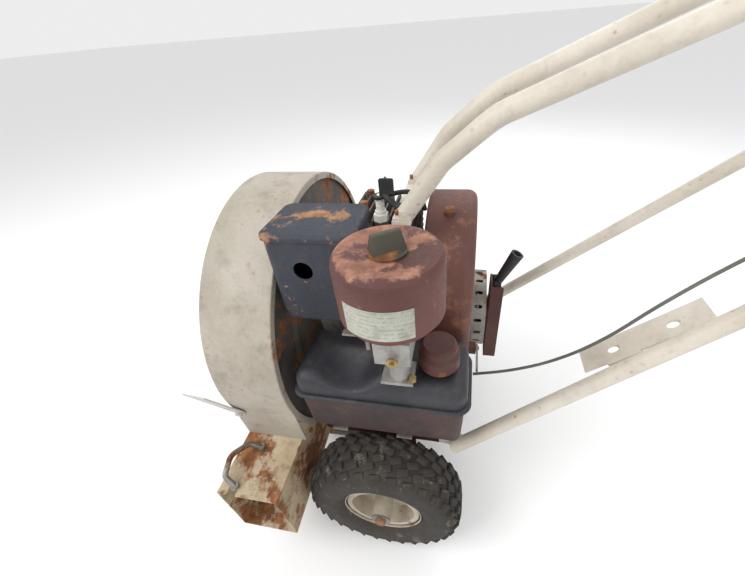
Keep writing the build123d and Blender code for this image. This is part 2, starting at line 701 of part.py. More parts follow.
with BuildPart() as exhaust_pipe:
    tube([(24, -47, 529), (42, -47, 529), (54, -67, 529), (74, -67, 529)], 8.9, 7,
         bends=[14, 14])
exhaust_pipe.part.label = "exhaust_pipe"
export_step(exhaust_pipe.part, "parts/exhaust_pipe.step")

# ---- Carburettor on the tank, oil-bath air cleaner above it ----
carb_low = tank_top
port_at = (36, 515)
horn_r = 16.0
with BuildPart() as carburettor:
    block((can_x - 30, 216), (can_y - 24, can_y + 19), (carb_low, carb_low + 5))
    rod_z((carb_low + 4, 500), (can_x - 8, can_y), 15)
    block((can_x - 22, can_x + 20), (can_y - 24, can_y + 20), (498, 534))
    rod_z((533, can_low), (can_x, can_y), horn_r)
    rod_z((506, can_low + 1), (can_x, can_y), 12, mode=Mode.SUBTRACT)
    rod_x((can_x - 23, can_x), port_at, 7, mode=Mode.SUBTRACT)
    rod_x((can_x + 15, can_x + 26), (can_y, 476 + 36), 5)
    rod_x((can_x + 16, can_x + 27), (can_y, 476 + 36), 3, mode=Mode.SUBTRACT)
carburettor.part.label = "carburettor"
export_step(carburettor.part, "parts/carburettor.step")

with BuildPart() as mixture_needle:
    rod_x((can_x + 20, can_x + 34), (can_y, 512), 2.9)
    rod_x((can_x + 26.2, can_x + 30), (can_y, 512), 7)
    rod_y((can_y - 30, can_y - 24), (can_x - 2, 516), 6)
    hexagon_z((carb_low + 5, carb_low + 11), (can_x - 24, can_y - 16), 9)
    hexagon_z((carb_low + 5, carb_low + 11), (can_x + 2, can_y + 18), 9)
mixture_needle.part.label = "mixture_needle"
export_step(mixture_needle.part, "parts/mixture_needle.step")

with BuildPart() as intake_pipe:
    rod_x((24, can_x - 22.5), port_at, 8.9)
    block((can_x - 28, can_x - 22), (can_y - 24, can_y + 4), (500, 530))
    rod_x((23, can_x - 21), port_at, 6.9, mode=Mode.SUBTRACT)
intake_pipe.part.label = "intake_pipe"
export_step(intake_pipe.part, "parts/intake_pipe.step")

with BuildPart() as choke_lever:
    rod_z((542, 546), (can_x + 16, can_y - 30), 6)
    block((can_x + 12, can_x + 20), (can_y - 58, can_y - 30), (542, 545))
    rod_z((520, 546), (can_x + 16, can_y - 30), 2.94)
choke_lever.part.label = "choke_lever"
export_step(choke_lever.part, "parts/choke_lever.step")

can_section = Plane(origin=(can_x, can_y, 0), x_dir=(1, 0, 0), z_dir=(0, -1, 0))
can_line = Axis((can_x, can_y, 0), (0, 0, 1))
with BuildPart() as air_cleaner_bowl:
    turned(can_section, can_line, [
        (12, can_low), (44, can_low), (53, can_low + 5), (56.5, can_low + 12), (56.5, 600),
        (55, 600), (55, can_low + 13), (51, can_low + 7), (43, can_low + 2), (12, can_low + 2)])
    block((can_x - 13, can_x + 13), (can_y - 3, can_y + 3), (can_low, can_low + 4))
    rod_z((can_low, 664), (can_x, can_y), 3)
air_cleaner_bowl.part.label = "air_cleaner_bowl"
export_step(air_cleaner_bowl.part, "parts/air_cleaner_bowl.step")

with BuildPart() as air_cleaner_cover:
    turned(can_section, can_line, [
        (3.3, 646), (3.3, 644), (50, 644), (55, 642), (57.5, 636), (57.5, can_low + 14),
        (can_r, can_low + 14), (can_r, 637), (57.8, 643), (54.5, 647.2), (50, can_top),
        (44, 648.6), (22, 646)])
air_cleaner_cover.part.label = "air_cleaner_cover"
export_step(air_cleaner_cover.part, "parts/air_cleaner_cover.step")

with BuildPart() as filter_element:
    turned(can_section, can_line, [(26, 568), (48, 568), (48, 640), (26, 640)])
filter_element.part.label = "filter_element"
export_step(filter_element.part, "parts/filter_element.step")

knob_turn = 35.0
with BuildPart() as air_cleaner_knob:
    rod_z((646.3, 648.5), (can_x, can_y), 21)
    with BuildSketch(above(647.5)) as knob_low:
        with Locations((can_x, can_y)):
            Rectangle(19, 36, rotation=knob_turn)
    with BuildSketch(above(668)) as knob_high:
        with Locations((can_x, can_y)):
            Rectangle(7, 30, rotation=knob_turn)
    loft([knob_low.sketch, knob_high.sketch])
    chamfer(air_cleaner_knob.faces().sort_by(Axis.Z)[-1].edges(), length=1.2)
    rod_z((645, 664.5), (can_x, can_y), 3 + running, mode=Mode.SUBTRACT)
air_cleaner_knob.part.label = "air_cleaner_knob"
export_step(air_cleaner_knob.part, "parts/air_cleaner_knob.step")

# ---- Fuel tank ----
tank_mid = ((tank_in + tank_out) / 2, (tank_front + tank_rear) / 2)
tank_size = (tank_out - tank_in, tank_rear - tank_front)
seam_z = 400.0
seam = 4.0
neck_r = 20.0
with BuildPart() as fuel_tank:
    with BuildSketch(above(tank_low)) as tank_plan:
        with Locations(tank_mid):
            RectangleRounded(tank_size[0], tank_size[1], 20)
    extrude(tank_plan.sketch, amount=tank_top - tank_low)
    fillet(fuel_tank.faces().sort_by(Axis.Z)[-1].edges(), radius=4)
    fillet(fuel_tank.faces().sort_by(Axis.Z)[0].edges(), radius=4)
    with BuildSketch(above(seam_z)) as seam_plan:
        with Locations((tank_mid[0] + 1.5, tank_mid[1])):
            RectangleRounded(tank_size[0] + seam, tank_size[1] + 2 * seam, 21)
    extrude(seam_plan.sketch, amount=3)
    rod_z((tank_top - 4, tank_top + 15), (cap_x, cap_y), neck_r)
    with BuildSketch(above(tank_low + 1.5)) as tank_room:
        with Locations(tank_mid):
            RectangleRounded(tank_size[0] - 3, tank_size[1] - 3, 18.5)
    extrude(tank_room.sketch, amount=tank_top - tank_low - 3, mode=Mode.SUBTRACT)
    rod_z((tank_top - 5, tank_top + 16), (cap_x, cap_y), neck_r - 2.5, mode=Mode.SUBTRACT)
fuel_tank.part.label = "fuel_tank"
export_step(fuel_tank.part, "parts/fuel_tank.step")

cap_section = Plane(origin=(cap_x, cap_y, 0), x_dir=(1, 0, 0), z_dir=(0, -1, 0))
cap_line = Axis((cap_x, cap_y, 0), (0, 0, 1))
with BuildPart() as fuel_cap:
    turned(cap_section, cap_line, [
        (neck_r + running, tank_top + 3), (28, tank_top + 3), (28, 467), (24, 471), (24, 481),
        (21, 485), (0, 485), (0, tank_top + 15.5), (neck_r + running, tank_top + 15.5)])
fuel_cap.part.label = "fuel_cap"
export_step(fuel_cap.part, "parts/fuel_cap.step")

with BuildPart() as tank_brackets:
    for y in (-70, 34):
        block((72, 150), (y, y + 24), (base_top, base_top + 4))
        block((112, 116), (y, y + 24), (base_top, tank_low))
        block((112, 212), (y, y + 24), (tank_low - 4, tank_low))
tank_brackets.part.label = "tank_brackets"
export_step(tank_brackets.part, "parts/tank_brackets.step")

# ---- Handle ----
strap_low = 608.0
strap_y = (24, 50)
with BuildPart() as head_bracket:
    block((-80, 80), strap_y, (strap_low, strap_low + 5))
    for x in (-78, 12):
        rod_z((head_top + 6, strap_low), (x, 32), 8)
head_bracket.part.label = "head_bracket"
export_step(head_bracket.part, "parts/head_bracket.step")


def handlebar(side):
    """One thick upper tube, flattened where it bolts to the strap over the cylinder head."""
    route = [(side * 66, 42, 619), (side * 66, 89, 687), (side * 66, 149, 737),
             (side * 84, 780, 1001), (side * 150, 960, 1030)]
    tube(route, tube_r, tube_r - tube_wall, bends=[60, 90, 100])
    block((side * 66 - 13, side * 66 + 13), (25, 50), (strap_low + 5, strap_low + 9))
    block((side * 66 - 12, side * 66 + 12), (34, 50), (strap_low + 5, strap_low + 18))


def lower_tube(side):
    """One thin lower tube, with the foot plate that bolts to the side of the base."""
    tube([(side * 172.8, 122, 233), (side * 115.5, 640, 732), (side * 111.5, 785, 1001)],
         brace_r, brace_r - tube_wall, bends=[160])
    plate = sorted((side * base_half, side * 163.5))
    outline_x([(96, 226), (128, 220), (146, 240), (122, 262), (96, 262)], plate)


stud_at = (106, 840)
with BuildPart() as handlebar_left:
    handlebar(1)
    # Stand and pin of the throttle lever.
    block((stud_at[0] - 7, stud_at[0] + 7), (stud_at[1] - 7, stud_at[1] + 7), (1018, 1032))
    rod_z((1031, 1044), stud_at, 3)
handlebar_left.part.label = "handlebar_left"
export_step(handlebar_left.part, "parts/handlebar_left.step")

with BuildPart() as handlebar_right:
    handlebar(-1)
handlebar_right.part.label = "handlebar_right"
export_step(handlebar_right.part, "parts/handlebar_right.step")

with BuildPart() as lower_tube_left:
    lower_tube(1)
lower_tube_left.part.label = "lower_tube_left"
export_step(lower_tube_left.part, "parts/lower_tube_left.step")

with BuildPart() as lower_tube_right:
    lower_tube(-1)
lower_tube_right.part.label = "lower_tube_right"
export_step(lower_tube_right.part, "parts/lower_tube_right.step")

grip_length = 110.0
with BuildPart() as handle_grips:
    for side in (-1, 1):
        way = Vector(side * 66, 180, 29).normalized()
        start = Vector(side * 150, 960, 1030) - way * grip_length
        with BuildSketch(Plane(origin=start, z_dir=way)) as sleeve:
            Circle(16.5)
        extrude(sleeve.sketch, amount=grip_length + 4)
        with BuildSketch(Plane(origin=start, z_dir=way)) as bore:
            Circle(tube_r + press)
        extrude(bore.sketch, amount=grip_length + 0.5, mode=Mode.SUBTRACT)
handle_grips.part.label = "handle_grips"
export_step(handle_grips.part, "parts/handle_grips.step")

with BuildPart() as throttle_lever:
    rod_z((1032.3, 1040), stud_at, 9)
    block((stud_at[0] - 4, stud_at[0] + 4), (772, stud_at[1]), (1033, 1036.5))
    block((stud_at[0], stud_at[0] + 16), (stud_at[1] - 5, stud_at[1] + 5), (1033, 1036.5))
    rod_z((1031, 1048), (stud_at[0], 774), 8)
    rod_z((1032, 1041), stud_at, 3 + running, mode=Mode.SUBTRACT)
throttle_lever.part.label = "throttle_lever"
export_step(throttle_lever.part, "parts/throttle_lever.step")

cable_r = 2.2
cable_route = [
    (122, 146, 369), (122, 194, 383), (122, 241, 405), (122, 283, 436), (122, 320, 476),
    (121, 352, 522), (120, 392, 572), (118.5, 440, 622), (117, 498, 662), (116, 558, 706),
    (115, 610, 760), (114, 650, 826), (113, 680, 896), (114, 716, 962), (118, 770, 1008),
    (120, 826, 1028)]
with BuildPart() as throttle_cable:
    tube(cable_route, cable_r)
print("cable radii", [round(r, 1) for r in bend_radii(cable_route)])
print("cable length", round(throttle_cable.part.volume / (pi * cable_r ** 2), 1))
throttle_cable.part.label = "throttle_cable"
export_step(throttle_cable.part, "parts/throttle_cable.step")

with BuildPart() as bracket_plate:
    outline_x([(302, 404), (304, 401.9), (424, 517.5), (422, 519.6)], (86, 127))
    outline_x([(330, 424), (362, 454.8), (356, 460.8), (324, 430)], (127, 133.5))
    with BuildSketch(above(380)) as slot_hole:
        with Locations((108, 336), (108, 392)):
            Circle(6)
    extrude(slot_hole.sketch, amount=150, mode=Mode.SUBTRACT)
bracket_plate.part.label = "bracket_plate"
export_step(bracket_plate.part, "parts/bracket_plate.step")

# Earthing strip that is pressed on to the spark plug's terminal to stop the engine.
with BuildPart() as stop_tab:
    outline_x([(32, 613.6), (32, 615.2), (20, 615.2), (3, 633), (9, 653), (6, 654),
               (-0.5, 632.5), (19, 613.6)], (24, 38))
    block((36, 39), (0, 21), (634, 656))
    fillet(stop_tab.edges().filter_by(Axis.X).group_by(Axis.Z)[-1], radius=3)
stop_tab.part.label = "stop_tab"
export_step(stop_tab.part, "parts/stop_tab.step")

with BuildPart() as chassis_bolts:
    for x in foot_x:
        for y in foot_y:
            side_x = x + 6 if x > 0 else x - 6
            hexagon_z((base_top + 10, base_top + 17), (side_x, y), 11)
    hexagon_z((boss_top, boss_top + 6), boss_at, 12)
    for side in (-1, 1):
        hexagon_z((strap_low + 9, strap_low + 15), (side * 66, 30), 7)
        for y in (102, 116):
            hexagon_x(sorted((side * 163.5, side * 168)), (y, 250), 10)
    for x in (-45, 25):
        for z in (250, 275):
            hexagon_y((base_front - 11, base_front - 5), (x, z), 11)
chassis_bolts.part.label = "chassis_bolts"
export_step(chassis_bolts.part, "parts/chassis_bolts.step")
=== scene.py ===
import bpy
import bmesh
from math import cos, pi, radians, sin
from mathutils import Matrix, Vector


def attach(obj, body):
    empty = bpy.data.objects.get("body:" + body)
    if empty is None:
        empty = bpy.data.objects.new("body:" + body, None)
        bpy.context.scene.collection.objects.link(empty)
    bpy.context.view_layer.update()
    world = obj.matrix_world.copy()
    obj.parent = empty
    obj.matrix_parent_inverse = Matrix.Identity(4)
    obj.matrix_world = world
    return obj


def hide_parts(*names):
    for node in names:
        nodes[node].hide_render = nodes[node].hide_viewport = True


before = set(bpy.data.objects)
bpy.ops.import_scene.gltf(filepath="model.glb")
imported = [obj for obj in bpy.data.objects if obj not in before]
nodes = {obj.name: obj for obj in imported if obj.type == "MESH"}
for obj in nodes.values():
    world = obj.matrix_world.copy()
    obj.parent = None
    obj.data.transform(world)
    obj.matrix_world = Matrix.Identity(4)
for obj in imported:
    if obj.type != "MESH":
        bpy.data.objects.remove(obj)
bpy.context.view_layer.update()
MM = 0.001


# ---- Materials ----
def node_of(tree, kind, **values):
    node = tree.nodes.new(kind)
    for key, value in values.items():
        setattr(node, key, value)
    return node


def noise(tree, coords, scale, detail=6.0, rough=0.6, stretch=None):
    source = coords
    if stretch:
        mapping = node_of(tree, "ShaderNodeMapping")
        mapping.inputs["Scale"].default_value = stretch
        tree.links.new(coords, mapping.inputs["Vector"])
        source = mapping.outputs["Vector"]
    node = node_of(tree, "ShaderNodeTexNoise")
    node.inputs["Scale"].default_value = scale
    node.inputs["Detail"].default_value = detail
    node.inputs["Roughness"].default_value = rough
    tree.links.new(source, node.inputs["Vector"])
    return node.outputs["Fac"]


def ramp(tree, fac, stops):
    node = node_of(tree, "ShaderNodeValToRGB")
    ramp_stops = node.color_ramp.elements
    while len(ramp_stops) < len(stops):
        ramp_stops.new(0.5)
    for element, (position, colour) in zip(ramp_stops, stops):
        element.position = position
        element.color = (*colour, 1)
    tree.links.new(fac, node.inputs["Fac"])
    return node.outputs["Color"]


def map_range(tree, value, low, high, out_low=0.0, out_high=1.0):
    node = node_of(tree, "ShaderNodeMapRange")
    tree.links.new(value, node.inputs["Value"])
    for key, number in zip(("From Min", "From Max", "To Min", "To Max"),
                           (low, high, out_low, out_high)):
        node.inputs[key].default_value = number
    return node.outputs["Result"]


def math_of(tree, operation, a, b, clamp=False):
    node = node_of(tree, "ShaderNodeMath", operation=operation, use_clamp=clamp)
    for socket, value in zip(node.inputs, (a, b)):
        if isinstance(value, (int, float)):
            socket.default_value = value
        else:
            tree.links.new(value, socket)
    return node.outputs["Value"]


def mix(tree, fac, a, b, blend="MIX"):
    node = node_of(tree, "ShaderNodeMix", data_type="RGBA", blend_type=blend)
    if isinstance(fac, (int, float)):
        node.inputs["Factor"].default_value = fac
    else:
        tree.links.new(fac, node.inputs["Factor"])
    for key, value in (("A", a), ("B", b)):
        socket = [s for s in node.inputs if s.name == key and s.type == "RGBA"][0]
        if isinstance(value, tuple):
            socket.default_value = (*value, 1)
        else:
            tree.links.new(value, socket)
    return [s for s in node.outputs if s.type == "RGBA"][0]


RUST = ((0.25, (0.055, 0.022, 0.010)), (0.5, (0.20, 0.075, 0.025)), (0.75, (0.42, 0.19, 0.07)))


def weathered(name, tones, rust=RUST, cover=0.6, patch=14.0, rough=(0.45, 0.7), metal=0.0,
              bump=0.3, specks=0.0, zone=None, grime=0.3, streak=None, edge=0.0):
    """Aged surface: two paint tones, a fine mottle, rust patches, specks, grime and bump.

    cover is the noise level above which rust shows; zone is (axis, from, to, weight), a band
    along one axis of the part where there is more of it.
    """
    material = bpy.data.materials.new(name)
    material.use_nodes = True
    tree = material.node_tree
    shader = tree.nodes["Principled BSDF"]
    coords = node_of(tree, "ShaderNodeTexCoord").outputs["Object"]
    broad = noise(tree, coords, 9.0, 5.0, 0.55, streak)
    fine = noise(tree, coords, 170.0, 6.0, 0.7)
    paint = ramp(tree, broad, ((0.3, tones[0]), (0.68, tones[1])))
    mottle = ramp(tree, fine, ((0.3, (0.62, 0.6, 0.58)), (0.6, (1.0, 1.0, 1.0))))
    paint = mix(tree, grime, paint, mix(tree, 1.0, paint, mottle, "MULTIPLY"))
    dirt = noise(tree, coords, 30.0, 8.0, 0.65)
    dirt_mask = map_range(tree, dirt, 0.52, 0.72, 0.0, grime)
    paint = mix(tree, dirt_mask, paint, (0.07, 0.055, 0.04))
    patches = noise(tree, coords, patch, 10.0, 0.68)
    if zone:
        axis, start, end, weight = zone
        split = node_of(tree, "ShaderNodeSeparateXYZ")
        tree.links.new(coords, split.inputs["Vector"])
        band = map_range(tree, split.outputs[axis], start, end, 0.0, weight)
        patches = math_of(tree, "ADD", patches, band)
    if edge:
        point = node_of(tree, "ShaderNodeNewGeometry").outputs["Pointiness"]
        sharp = map_range(tree, point, 0.51, 0.58, 0.0, edge)
        patches = math_of(tree, "ADD", patches, sharp)
    mask = map_range(tree, patches, cover, cover + 0.06)
    if specks:
        cells = node_of(tree, "ShaderNodeTexVoronoi")
        cells.inputs["Scale"].default_value = 90.0
        tree.links.new(coords, cells.inputs["Vector"])
        dots = map_range(tree, cells.outputs["Distance"], 0.0, 0.30, specks, 0.0)
        sparse = map_range(tree, noise(tree, coords, 22.0, 3.0, 0.5), 0.5, 0.62)
        mask = math_of(tree, "MAXIMUM", mask, math_of(tree, "MULTIPLY", dots, sparse))
    corroded = ramp(tree, noise(tree, coords, 60.0, 8.0, 0.7), rust)
    colour = mix(tree, mask, paint, corroded)
    tree.links.new(colour, shader.inputs["Base Color"])
    smooth = map_range(tree, fine, 0.3, 0.7, rough[0], rough[1])
    dull = math_of(tree, "MAXIMUM", smooth, math_of(tree, "MULTIPLY", mask, 0.88))
    tree.links.new(dull, shader.inputs["Roughness"])
    shader.inputs["Metallic"].default_value = metal
    height = math_of(tree, "ADD", math_of(tree, "MULTIPLY", patches, 1.4), fine)
    height = math_of(tree, "ADD", height, math_of(tree, "MULTIPLY", mask, 0.35))
    relief = node_of(tree, "ShaderNodeBump")
    relief.inputs["Strength"].default_value = bump
    relief.inputs["Distance"].default_value = 0.0012
    tree.links.new(height, relief.inputs["Height"])
    tree.links.new(relief.outputs["Normal"], shader.inputs["Normal"])
    return material


CREAM = ((0.305, 0.270, 0.215), (0.44, 0.40, 0.335))
drum_paint = weathered("drum_paint", CREAM, cover=0.70, rough=(0.5, 0.75), specks=0.5,
                       zone=("Y", -0.160, -0.136, 0.16), grime=0.35, bump=0.25)
# Back plate: dark paint, made darker still as painted shade for the shadowed recess behind the
# drum rim.
plate_paint_and_painted_shade = weathered("plate_paint_and_painted_shade", ((0.035, 0.032, 0.034), (0.13, 0.115, 0.10)), cover=0.50,
                        rough=(0.6, 0.85), grime=0.6)
spout_paint = weathered("spout_paint", ((0.36, 0.25, 0.13), (0.56, 0.47, 0.34)), cover=0.48,
                        patch=16.0, rough=(0.6, 0.85), specks=0.8, grime=0.5, bump=0.5)
tube_paint = weathered("tube_paint", ((0.50, 0.45, 0.37), (0.64, 0.59, 0.51)), cover=0.70,
                       patch=26.0, rough=(0.4, 0.6), specks=0.7, grime=0.2, bump=0.2)
muffler_paint = weathered(
    "muffler_paint", ((0.012, 0.014, 0.022), (0.035, 0.040, 0.058)),
    rust=((0.2, (0.10, 0.045, 0.022)), (0.5, (0.30, 0.15, 0.075)), (0.8, (0.45, 0.27, 0.15))),
    cover=0.62, patch=24.0, rough=(0.5, 0.8), zone=("Z", 0.54, 0.63, 0.09), grime=0.5, bump=0.6)
MAROON = ((0.062, 0.018, 0.015), (0.135, 0.040, 0.031))
can_paint = weathered("can_paint", MAROON, cover=0.66, rough=(0.45, 0.7), specks=0.6,
                      zone=("Z", 0.640, 0.650, 0.22), grime=0.3, bump=0.35,
                      rust=((0.25, (0.11, 0.045, 0.03)), (0.5, (0.28, 0.13, 0.085)),
                            (0.78, (0.46, 0.26, 0.19))))
cap_paint = weathered("cap_paint", MAROON, cover=0.64, rough=(0.5, 0.75), grime=0.45, edge=0.1)
shroud_paint = weathered("shroud_paint", ((0.060, 0.017, 0.014), (0.145, 0.052, 0.036)),
                         cover=0.66, rough=(0.5, 0.75), specks=0.7, grime=0.35,
                         zone=("Z", 0.42, 0.60, 0.10), bump=0.4,
                         rust=((0.25, (0.10, 0.035, 0.022)), (0.5, (0.21, 0.085, 0.05)),
                               (0.8, (0.34, 0.16, 0.10))))
base_paint = weathered("base_paint", ((0.045, 0.012, 0.011), (0.105, 0.030, 0.024)),
                       cover=0.62, rough=(0.5, 0.8), grime=0.5)
tank_paint = weathered("tank_paint", ((0.010, 0.011, 0.016), (0.032, 0.032, 0.040)),
                       cover=0.69, rough=(0.42, 0.7), grime=0.45, bump=0.25, patch=18.0,
                       rust=((0.3, (0.05, 0.045, 0.04)), (0.6, (0.16, 0.13, 0.11)),
                             (0.8, (0.26, 0.21, 0.17))))
tank_low_paint = weathered(
    "tank_low_paint", ((0.020, 0.013, 0.014), (0.070, 0.030, 0.027)), cover=0.60, patch=18.0,
    rust=((0.25, (0.06, 0.022, 0.016)), (0.5, (0.12, 0.045, 0.03)), (0.8, (0.20, 0.09, 0.06))),
    rough=(0.45, 0.75), grime=0.5, bump=0.3)
steel = weathered("old_steel", ((0.16, 0.145, 0.125), (0.36, 0.34, 0.31)), cover=0.53,
                  rough=(0.35, 0.6), metal=0.6, grime=0.5, bump=0.35)
blade_steel = weathered("blade_steel", ((0.36, 0.35, 0.33), (0.60, 0.58, 0.55)), cover=0.62,
                        rough=(0.35, 0.55), metal=0.45, grime=0.3)
hub_rust = weathered("hub_rust", ((0.20, 0.09, 0.045), (0.34, 0.17, 0.09)), cover=0.45,
                     rough=(0.7, 0.9), bump=0.5)
cast_alloy = weathered("cast_alloy", ((0.26, 0.25, 0.235), (0.48, 0.47, 0.45)), cover=0.66,
                       rough=(0.45, 0.7), metal=0.5, grime=0.6, bump=0.5)
brass = weathered("brass", ((0.32, 0.21, 0.08), (0.55, 0.40, 0.17)), cover=0.7,
                  rough=(0.3, 0.55), metal=0.8, grime=0.4)
rubber = weathered("black_rubber", ((0.012, 0.012, 0.013), (0.030, 0.029, 0.028)), cover=0.78,
                   rough=(0.5, 0.8), grime=0.3)
ceramic = weathered("ceramic", ((0.70, 0.68, 0.62), (0.86, 0.84, 0.79)), cover=0.74,
                    rough=(0.15, 0.35), grime=0.15, bump=0.05)
olive = weathered("olive_paint", ((0.040, 0.038, 0.026), (0.105, 0.098, 0.065)), cover=0.66,
                  rough=(0.45, 0.7), grime=0.3, edge=0.12)
rim_paint = weathered("rim_paint", ((0.30, 0.25, 0.18), (0.50, 0.44, 0.35)), cover=0.63,
                      rough=(0.5, 0.75), specks=0.5, grime=0.45)
tyre_rubber = weathered(
    "tyre_rubber", ((0.016, 0.014, 0.012), (0.045, 0.038, 0.031)), cover=0.58, patch=40.0,
    rust=((0.2, (0.060, 0.050, 0.038)), (0.5, (0.115, 0.095, 0.072)), (0.8, (0.18, 0.15, 0.115))),
    rough=(0.75, 0.95), grime=0.35, bump=0.45)
cable_grey = weathered("cable_grey", ((0.055, 0.055, 0.05), (0.13, 0.125, 0.11)), cover=0.75,
                       rough=(0.5, 0.75), grime=0.3)
dark_alloy = weathered("dark_alloy", ((0.055, 0.045, 0.038), (0.15, 0.13, 0.11)), cover=0.60,
                       rough=(0.5, 0.8), metal=0.4, grime=0.7, bump=0.5)
paper = weathered("filter_paper", ((0.42, 0.36, 0.24), (0.62, 0.55, 0.40)), cover=0.8)


def label_material():
    """Faded paper label: stained, with plain printed bands and no lettering."""
    material = weathered("label_paper", ((0.30, 0.31, 0.26), (0.46, 0.47, 0.40)), cover=0.66,
                         patch=40.0, rough=(0.6, 0.8), grime=0.5, bump=0.15)
    tree = material.node_tree
    shader = tree.nodes["Principled BSDF"]
    colour = shader.inputs["Base Color"].links[0].from_socket
    coords = node_of(tree, "ShaderNodeTexCoord").outputs["Object"]
    split = node_of(tree, "ShaderNodeSeparateXYZ")
    tree.links.new(coords, split.inputs["Vector"])
    phase = math_of(tree, "MULTIPLY", split.outputs["Z"], 2 * pi / 0.0052)
    wave = math_of(tree, "SINE", phase, 0.0)
    band = map_range(tree, wave, 0.55, 0.75, 0.0, 0.5)
    broken = map_range(tree, noise(tree, coords, 260.0, 2.0, 0.5), 0.45, 0.55)
    ink = math_of(tree, "MULTIPLY", band, broken)
    tree.links.new(mix(tree, ink, colour, (0.16, 0.15, 0.13)), shader.inputs["Base Color"])
    return material


LOOKS = {
    "drum_shell": drum_paint, "drum_back_plate": plate_paint_and_painted_shade, "drum_bearing_ring": steel,
    "spout": spout_paint, "spout_handle": steel, "drum_bolts": hub_rust,
    "drum_collar": cast_alloy, "collar_retainer": steel, "crankshaft": steel,
    "impeller": steel, "drift_cutter": blade_steel, "impeller_nut": steel, "flywheel": cast_alloy,
    "starter_cup": steel, "crankcase": cast_alloy, "main_bearings": brass,
    "cylinder": dark_alloy, "cylinder_head": dark_alloy, "head_bolts": hub_rust,
    "spark_plug": ceramic, "ignition_lead": rubber, "blower_housing": shroud_paint,
    "shroud_backplate": shroud_paint, "starter_housing": steel, "starter_arm": base_paint,
    "starter_grip": rubber, "governor_lever": steel, "engine_base": base_paint,
    "skid_frame": steel, "axle": hub_rust, "axle_pins": steel, "tyre_left": tyre_rubber,
    "tyre_right": tyre_rubber, "rim_left": rim_paint, "rim_right": rim_paint,
    "muffler_body": muffler_paint, "muffler_lid": muffler_paint, "exhaust_pipe": hub_rust,
    "carburettor": cast_alloy, "mixture_needle": brass, "intake_pipe": cast_alloy,
    "choke_lever": steel, "air_cleaner_bowl": can_paint, "air_cleaner_cover": can_paint,
    "filter_element": paper, "air_cleaner_knob": olive, "fuel_tank": tank_paint,
    "fuel_cap": cap_paint, "tank_brackets": steel, "head_bracket": tube_paint,
    "handlebar_left": tube_paint, "handlebar_right": tube_paint,
    "lower_tube_left": tube_paint, "lower_tube_right": tube_paint, "handle_grips": rubber,
    "throttle_lever": steel, "throttle_cable": cable_grey, "bracket_plate": tube_paint,
    "stop_tab": rubber, "chassis_bolts": hub_rust,
}
for node_name, look in LOOKS.items():
    for material_slot in nodes[node_name].material_slots:
        material_slot.material = look


# ---- Mesh helpers ----
def piece(name, mesh_data, look, body, replaced=(), smooth=True, bevel=0.0):
    mesh = bpy.data.meshes.new(name)
    mesh_data.normal_update()
    mesh_data.to_mesh(mesh)
    mesh_data.free()
    for face in mesh.polygons:
        face.use_smooth = smooth
    item = bpy.data.objects.new(name, mesh)
    bpy.context.scene.collection.objects.link(item)
    mesh.materials.append(look)
    if bevel:
        rounding = item.modifiers.new("rounding", "BEVEL")
        rounding.width = bevel
        rounding.segments = 2
        rounding.limit_method = "ANGLE"
    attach(item, body)
    if replaced:
        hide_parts(*replaced)
    return item


def lathe(bm, profile, centre, axis, steps=96):
    """Closed ring from a list of (distance along the axis, radius)."""
    side, up = {"X": (Vector((0, 1, 0)), Vector((0, 0, 1))),
                "Y": (Vector((0, 0, 1)), Vector((1, 0, 0))),
                "Z": (Vector((1, 0, 0)), Vector((0, 1, 0)))}[axis]
    along = side.cross(up)
    rings = []
    for step in range(steps):
        turn = 2 * pi * step / steps
        out = side * cos(turn) + up * sin(turn)
        rings.append([bm.verts.new(Vector(centre) + (along * a + out * r) * MM)
                      for a, r in profile])
    for now, following in zip(rings, rings[1:] + rings[:1]):
        for i in range(len(profile)):
            j = (i + 1) % len(profile)
            bm.faces.new((now[i], following[i], following[j], now[j]))


def bar(bm, centre, along, side, up):
    """A six-sided block from half-extent vectors; up tapers a little."""
    corners = []
    for level, taper in ((-1, 1.0), (1, 0.86)):
        for a, s in ((-1, -1), (1, -1), (1, 1), (-1, 1)):
            corners.append(bm.verts.new(centre + along * a * taper + side * s * taper
                                        + up * level))
    for quad in ((3, 2, 1, 0), (4, 5, 6, 7), (0, 1, 5, 4), (1, 2, 6, 5), (2, 3, 7, 6),
                 (3, 0, 4, 7)):
        bm.faces.new([corners[i] for i in quad])


# ---- Tyres: a rounded carcass with staggered tread blocks ----
# Half sections from the bead to the crown, as (distance from the middle, radius) in mm.
TYRE_OUTSIDE = [(30.7, 61.2), (31.5, 70), (39, 77), (42.5, 86), (43.8, 98), (43.2, 101),
                (43.9, 104), (42.5, 115), (38, 124), (29, 130), (15, 132.4)]
TYRE_INSIDE = [(22, 61.2), (24, 72), (34, 84), (36, 104), (31, 118), (19, 125)]
CROWN_RADIUS = 133
AXLE = Vector((0, 5, 137.7)) * MM
HALF_TRACK = 0.223
BLOCKS = 30
BLOCK_SLEW = 16
BLOCK_HEIGHT = 2.6
# Each row of blocks: offset from the middle, half width, radius in mm, lean in degrees,
# half length in mm, and its shift around the tyre as a share of one block's step.
TREAD_ROWS = ((-7.2, 6.3, 134.6, 0, 10.2, 0.0), (7.2, 6.3, 134.6, 0, 10.2, 0.5),
              (-21.6, 6.4, 133.4, 9, 10.2, 0.5), (21.6, 6.4, 133.4, -9, 10.2, 0.0),
              (-35.5, 6.0, 126.3, 43, 8.6, 0.0), (35.5, 6.0, 126.3, -43, 8.6, 0.5))


def mirrored(half):
    return [(-along, radius) for along, radius in half]


def tyre_section():
    """The carcass section, once around from the left bead."""
    outside = mirrored(TYRE_OUTSIDE) + [(0, CROWN_RADIUS)] + TYRE_OUTSIDE[::-1]
    return outside + TYRE_INSIDE + mirrored(TYRE_INSIDE)[::-1]


